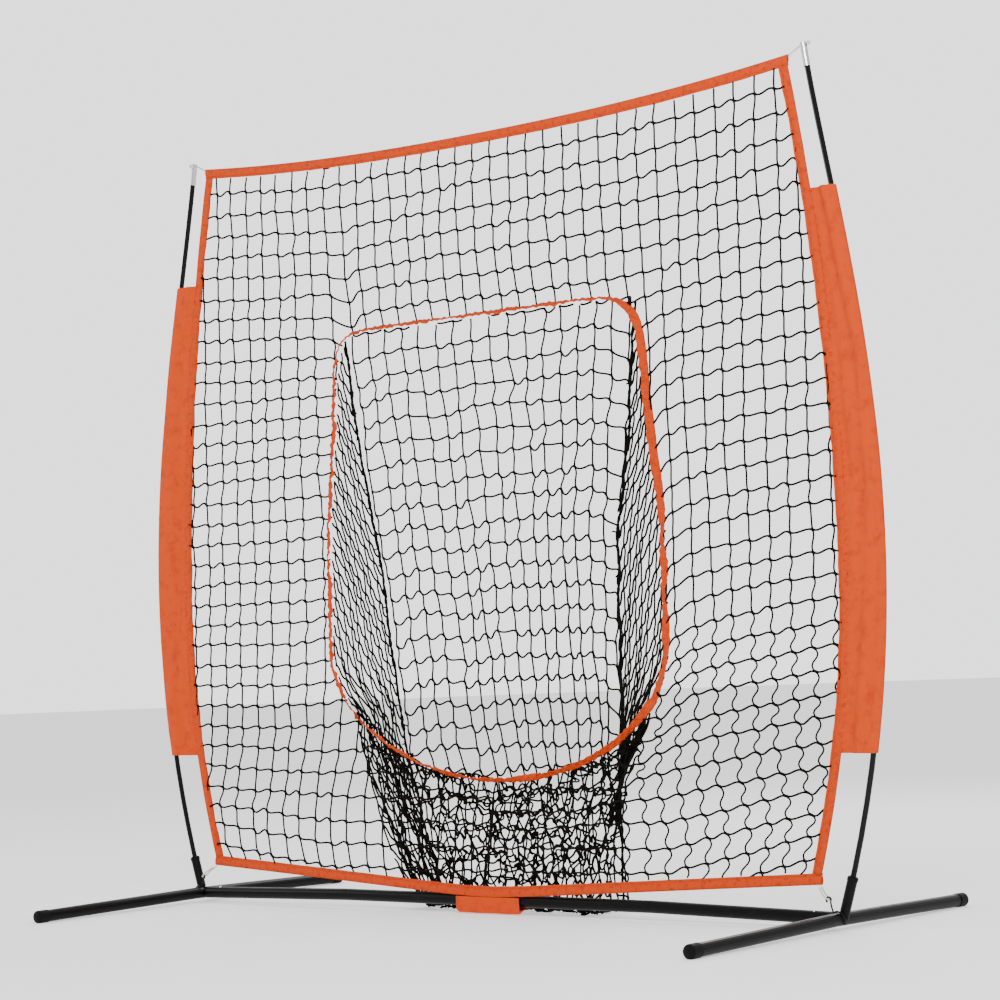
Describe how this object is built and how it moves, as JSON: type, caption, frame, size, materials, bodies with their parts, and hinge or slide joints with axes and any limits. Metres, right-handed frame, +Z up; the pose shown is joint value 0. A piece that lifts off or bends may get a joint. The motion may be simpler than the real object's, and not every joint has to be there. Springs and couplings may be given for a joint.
{
  "type": "pitching target net",
  "caption": "Free-standing bow-frame pitching net: steel feet and crossbar, bent fibreglass poles, square net edged in orange with a ball-catching sock hanging behind its mouth.",
  "frame": {"origin": "on the floor, in the middle of the footprint of the four foot ends", "axes": "+Z up, +X to the right seen from the front, +Y to the back; the ball comes from -Y"},
  "size_m": [2.4664, 1.206, 2.1383],
  "materials": {
    "black_steel": "satin powder coat",
    "black_plastic": "fine moulded grain",
    "zinc_steel": "zinc plated",
    "chrome": "bright nickel plate",
    "fibreglass": "gloss pultruded fibreglass",
    "coated_wire": "vinyl dipped",
    "netting": "knotted polyester twine",
    "orange_cloth": "plain woven polyester",
    "orange_webbing": "folded woven tape",
    "white_elastic": "braided elastic cord"
  },
  "bodies": {
    "root": {"bottom_binding": "orange_webbing", "left_binding": "orange_webbing", "left_bottom_elastic": "white_elastic", "left_crossbar_stub": "black_steel", "left_crossbar_tube": "black_steel", "left_end_button_clip": "zinc_steel", "left_foot_tube": "black_steel", "left_front_foot_cap": "black_plastic", "left_ground_hook": "coated_wire", "left_lower_pole": "fibreglass", "left_lower_pole_ferrule": "zinc_steel", "left_middle_button_clip": "zinc_steel", "left_middle_pole": "fibreglass", "left_pole_sleeve": "orange_cloth", "left_pole_socket": "black_steel", "left_pole_tip": "chrome", "left_rear_foot_cap": "black_plastic", "left_socket_bushing": "black_plastic", "left_top_elastic": "white_elastic", "left_upper_pole": "fibreglass", "left_upper_pole_ferrule": "zinc_steel", "middle_crossbar_tube": "black_steel", "mouth_binding": "orange_webbing", "net_panel": "netting", "right_binding": "orange_webbing", "right_bottom_elastic": "white_elastic", "right_crossbar_stub": "black_steel", "right_crossbar_tube": "black_steel", "right_end_button_clip": "zinc_steel", "right_foot_tube": "black_steel", "right_front_foot_cap": "black_plastic", "right_ground_hook": "coated_wire", "right_lower_pole": "fibreglass", "right_lower_pole_ferrule": "zinc_steel", "right_middle_button_clip": "zinc_steel", "right_middle_pole": "fibreglass", "right_pole_sleeve": "orange_cloth", "right_pole_socket": "black_steel", "right_pole_tip": "chrome", "right_rear_foot_cap": "black_plastic", "right_socket_bushing": "black_plastic", "right_top_elastic": "white_elastic", "right_upper_pole": "fibreglass", "right_upper_pole_ferrule": "zinc_steel", "sock_back_panel": "netting", "sock_floor_panel": "netting", "sock_front_panel": "netting", "sock_left_side": "netting", "sock_right_side": "netting", "strap_tab": "orange_cloth", "top_binding": "orange_webbing"},
    "left_end_button": {"left_end_snap_button": "zinc_steel"},
    "left_middle_button": {"left_middle_snap_button": "zinc_steel"},
    "right_end_button": {"right_end_snap_button": "zinc_steel"},
    "right_middle_button": {"right_middle_snap_button": "zinc_steel"},
    "strap_flap": {"strap_flap": "orange_cloth"}
  },
  "joints": [
    {"name": "left_end_button_press", "type": "slide", "parent": "root", "child": "left_end_button", "axis": [0.0169, 0.342, -0.9395], "range_m": [0, 0.0045], "stiffness_N_per_m": 1500, "springref_m": -0.002},
    {"name": "left_middle_button_press", "type": "slide", "parent": "root", "child": "left_middle_button", "axis": [0, -1, 0], "range_m": [0, 0.0045], "stiffness_N_per_m": 1500, "springref_m": -0.002},
    {"name": "right_end_button_press", "type": "slide", "parent": "root", "child": "right_end_button", "axis": [-0.0169, 0.342, -0.9395], "range_m": [0, 0.0045], "stiffness_N_per_m": 1500, "springref_m": -0.002},
    {"name": "right_middle_button_press", "type": "slide", "parent": "root", "child": "right_middle_button", "axis": [0, -1, 0], "range_m": [0, 0.0045], "stiffness_N_per_m": 1500, "springref_m": -0.002},
    {"name": "strap_flap_peel", "type": "hinge", "parent": "root", "child": "strap_flap", "pos_m": [0, 0.0467, 0.0146], "axis": [-1, 0, 0], "range_deg": [0, 50]}
  ]
}
